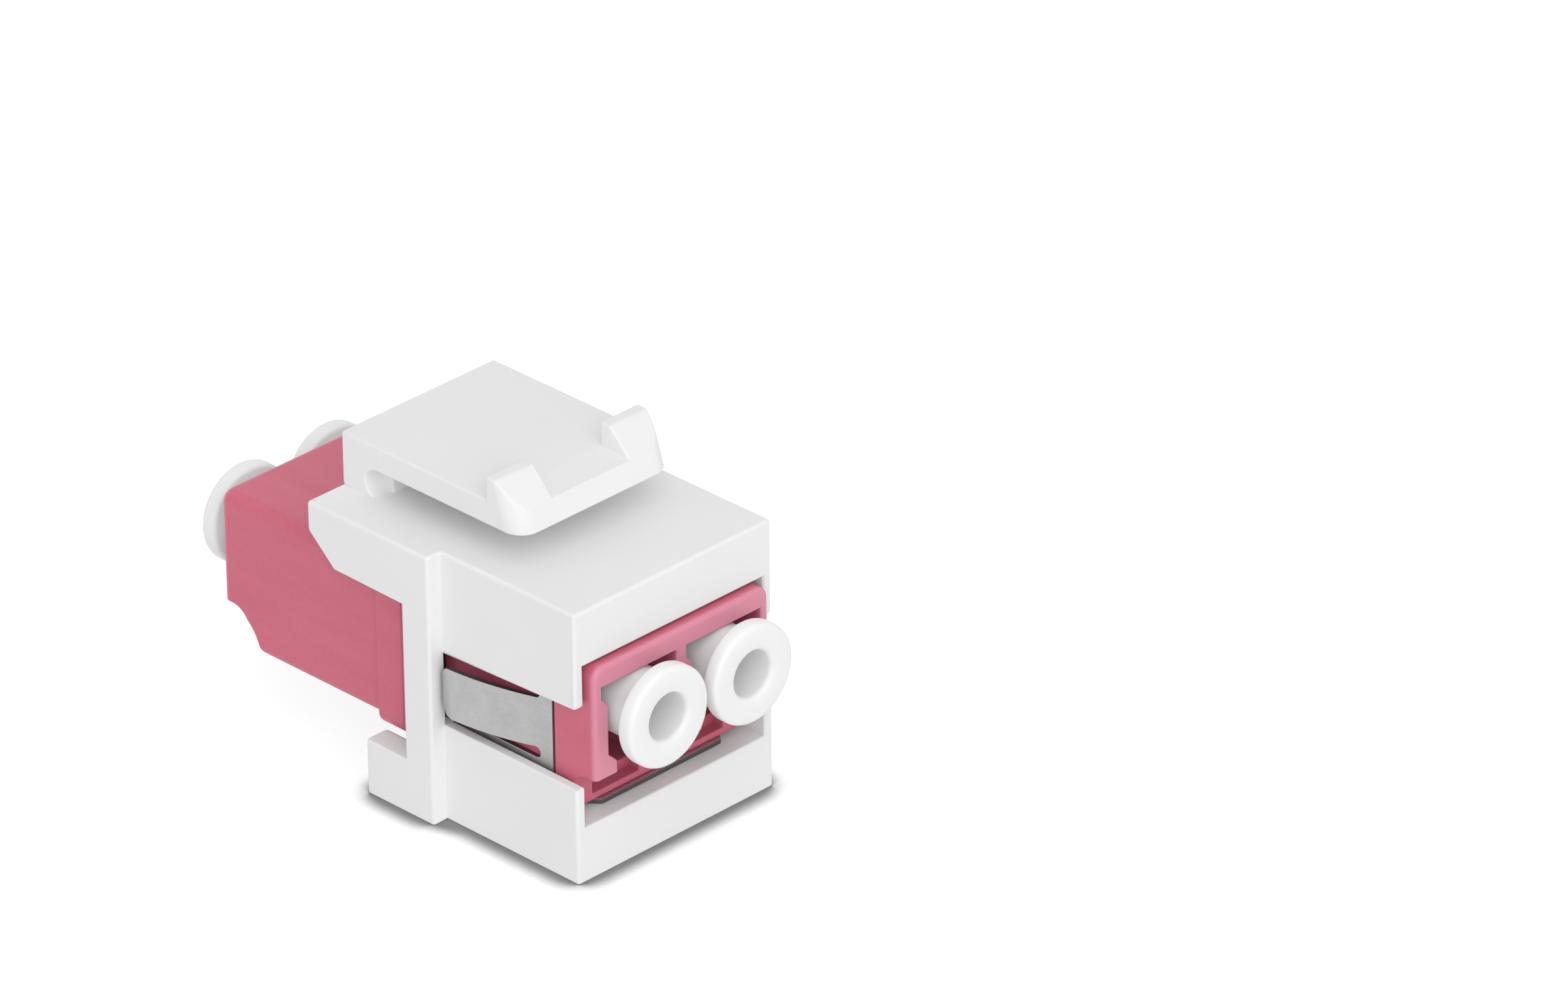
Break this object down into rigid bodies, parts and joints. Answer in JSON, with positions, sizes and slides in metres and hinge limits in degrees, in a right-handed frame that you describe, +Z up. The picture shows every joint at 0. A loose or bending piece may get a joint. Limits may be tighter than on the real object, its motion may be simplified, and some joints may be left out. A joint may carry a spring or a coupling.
{
  "type": "keystone coupler with duplex fibre adapter",
  "caption": "Duplex fibre adapter held in a snap-in keystone frame with a sprung top latch, a steel retaining clip and pull-off dust caps on its ports.",
  "frame": {"origin": "centre of the part in plan, at the adapter's mid-plane, on the base of the frame", "axes": "+X across the two ports, +Y from the panel side to the cable side, +Z up to the latch"},
  "size_m": [0.0164, 0.033, 0.0207],
  "materials": {
    "frame_plastic": "fine satin moulded ABS",
    "adapter_plastic": "satin moulded polymer",
    "clip_steel": "rolled stainless strip",
    "sleeve_ceramic": "polished zirconia",
    "cap_plastic": "soft moulded polyethylene"
  },
  "bodies": {
    "frame": {"keystone_frame": "frame_plastic", "adapter_front_half": "adapter_plastic", "adapter_rear_half": "adapter_plastic", "spring_clip": "clip_steel", "sleeve_left": "sleeve_ceramic", "sleeve_right": "sleeve_ceramic"},
    "latch": {"latch_arm": "frame_plastic"},
    "dust_cap_front_left": {"dust_cap_front_left": "cap_plastic"},
    "dust_cap_front_right": {"dust_cap_front_right": "cap_plastic"},
    "dust_cap_rear_left": {"dust_cap_rear_left": "cap_plastic"},
    "dust_cap_rear_right": {"dust_cap_rear_right": "cap_plastic"}
  },
  "joints": [
    {"name": "latch_press", "type": "hinge", "parent": "frame", "child": "latch", "pos_m": [0, 0.00275, 0.01787], "axis": [1, 0, 0], "range_deg": [0, 8.3], "stiffness_Nm_per_rad": 0.3},
    {"name": "dust_cap_front_left_pull", "type": "slide", "parent": "frame", "child": "dust_cap_front_left", "axis": [0, -1, 0], "range_m": [0, 0.0096]},
    {"name": "dust_cap_front_right_pull", "type": "slide", "parent": "frame", "child": "dust_cap_front_right", "axis": [0, -1, 0], "range_m": [0, 0.0096]},
    {"name": "dust_cap_rear_left_pull", "type": "slide", "parent": "frame", "child": "dust_cap_rear_left", "axis": [0, 1, 0], "range_m": [0, 0.0096]},
    {"name": "dust_cap_rear_right_pull", "type": "slide", "parent": "frame", "child": "dust_cap_rear_right", "axis": [0, 1, 0], "range_m": [0, 0.0096]}
  ]
}
